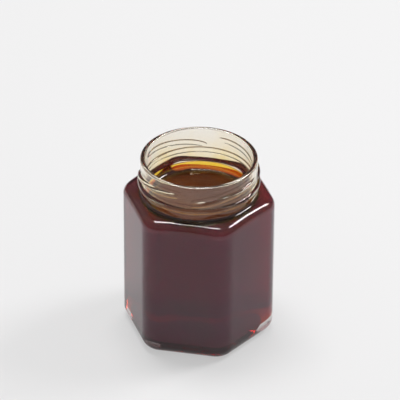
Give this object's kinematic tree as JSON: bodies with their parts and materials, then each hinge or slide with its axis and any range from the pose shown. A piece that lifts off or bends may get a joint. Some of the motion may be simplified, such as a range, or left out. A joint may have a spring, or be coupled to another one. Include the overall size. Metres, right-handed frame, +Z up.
{
  "type": "honey jar",
  "caption": "Open hexagonal glass jar with rounded corners and a round threaded neck, filled with dark amber honey up to the foot of the neck.",
  "frame": {"origin": "centre of the resting face, on the jar's upright axis", "axes": "+Z up along the axis to the rim, X through two opposite upright corners, -Y out of the front side"},
  "size_m": [0.0718, 0.0648, 0.092],
  "materials": {
    "glass": "clear, polished",
    "honey": "smooth, wet, clear dark amber"
  },
  "bodies": {
    "root": {"jar": "glass", "honey": "honey"}
  },
  "joints": []
}
